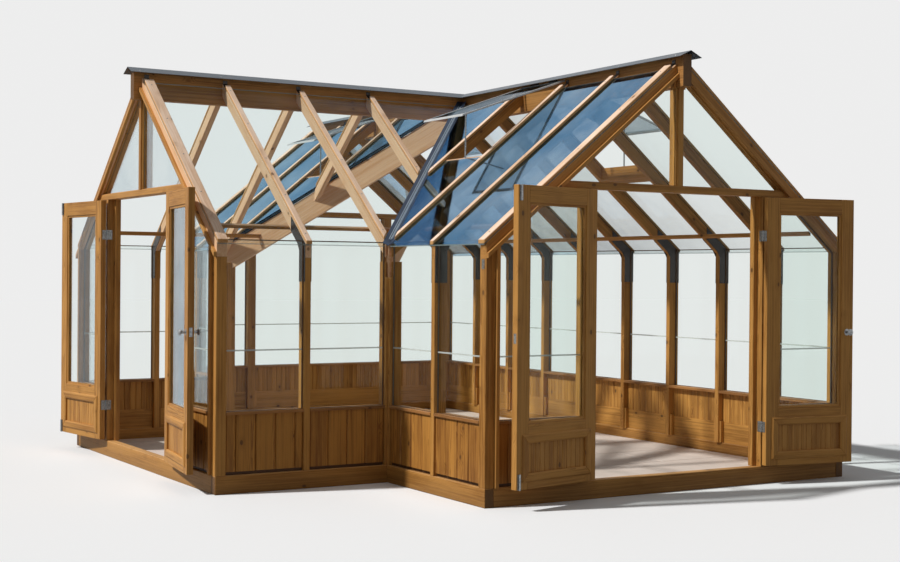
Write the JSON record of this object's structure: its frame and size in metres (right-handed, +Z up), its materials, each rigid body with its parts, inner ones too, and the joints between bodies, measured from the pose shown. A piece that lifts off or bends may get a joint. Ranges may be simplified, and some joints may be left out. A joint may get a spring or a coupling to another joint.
{
  "type": "timber and glass greenhouse",
  "caption": "Timber-framed glass greenhouse on a T-shaped plan, with steep glazed roofs, boarded knee walls, roof vents and open double doors in two gables.",
  "frame": {"origin": "ground level, below the crossing of the two ridge lines", "axes": "+Y along the main range away from the front doors, +X towards the long wall, +Z up; the cross wing runs towards -X"},
  "size_m": [4.6822, 6.0809, 3.028],
  "materials": {
    "timber": "brown stained pine, satin, sun-bleached on the rafters",
    "glass": "clear toughened glass",
    "roof_metal": "dark blue-grey coated sheet",
    "gusset_metal": "near-black coated plate",
    "zinc_hardware": "zinc plated",
    "floor_paving": "pale pinkish-grey concrete slabs"
  },
  "bodies": {
    "greenhouse": {"base_beams_long": "timber", "base_beams_cross": "timber", "floor_slab": "floor_paving", "corner_posts": "timber", "wall_posts": "timber", "door_posts": "timber", "knee_walls_long": "timber", "knee_walls_cross": "timber", "sill_rails": "timber", "wall_glass_long": "glass", "wall_glass_cross": "glass", "tie_beams": "timber", "king_posts": "timber", "gable_glass": "glass", "rafters_right": "timber", "rafters_left": "timber", "rafters_wing": "timber", "valley_rafters": "timber", "valley_gutters": "roof_metal", "ridge_beam_main": "timber", "ridge_beam_wing": "timber", "ridge_cap_main": "roof_metal", "ridge_cap_wing": "roof_metal", "roof_glass_right": "glass", "roof_glass_left": "glass", "roof_glass_wing": "glass", "glazing_strips": "timber", "hanging_rails": "timber", "frame_gussets": "gusset_metal", "vent_curbs": "timber", "vent_sashes": "zinc_hardware", "vent_glass": "glass", "vent_openers": "zinc_hardware", "door_hinges": "zinc_hardware"},
    "front_left_door": {"front_left_leaf": "timber", "front_left_glass": "glass", "front_left_fittings": "zinc_hardware"},
    "front_right_door": {"front_right_leaf": "timber", "front_right_glass": "glass", "front_right_fittings": "zinc_hardware"},
    "side_near_door": {"side_near_leaf": "timber", "side_near_glass": "glass", "side_near_fittings": "zinc_hardware"},
    "side_far_door": {"side_far_leaf": "timber", "side_far_glass": "glass", "side_far_fittings": "zinc_hardware"}
  },
  "joints": [
    {"name": "front_left_hinge", "type": "hinge", "parent": "greenhouse", "child": "front_left_door", "pos_m": [-0.757, -2.882, 1], "axis": [0, 0, -1], "range_deg": [-167.4, 6.1]},
    {"name": "front_right_hinge", "type": "hinge", "parent": "greenhouse", "child": "front_right_door", "pos_m": [0.757, -2.882, 1], "axis": [0, 0, 1], "range_deg": [-171.8, 1.7]},
    {"name": "side_near_hinge", "type": "hinge", "parent": "greenhouse", "child": "side_near_door", "pos_m": [-2.882, -0.757, 1], "axis": [0, 0, 1], "range_deg": [-171.5, 2]},
    {"name": "side_far_hinge", "type": "hinge", "parent": "greenhouse", "child": "side_far_door", "pos_m": [-2.882, 0.757, 1], "axis": [0, 0, -1], "range_deg": [-172.2, 1.3]}
  ]
}
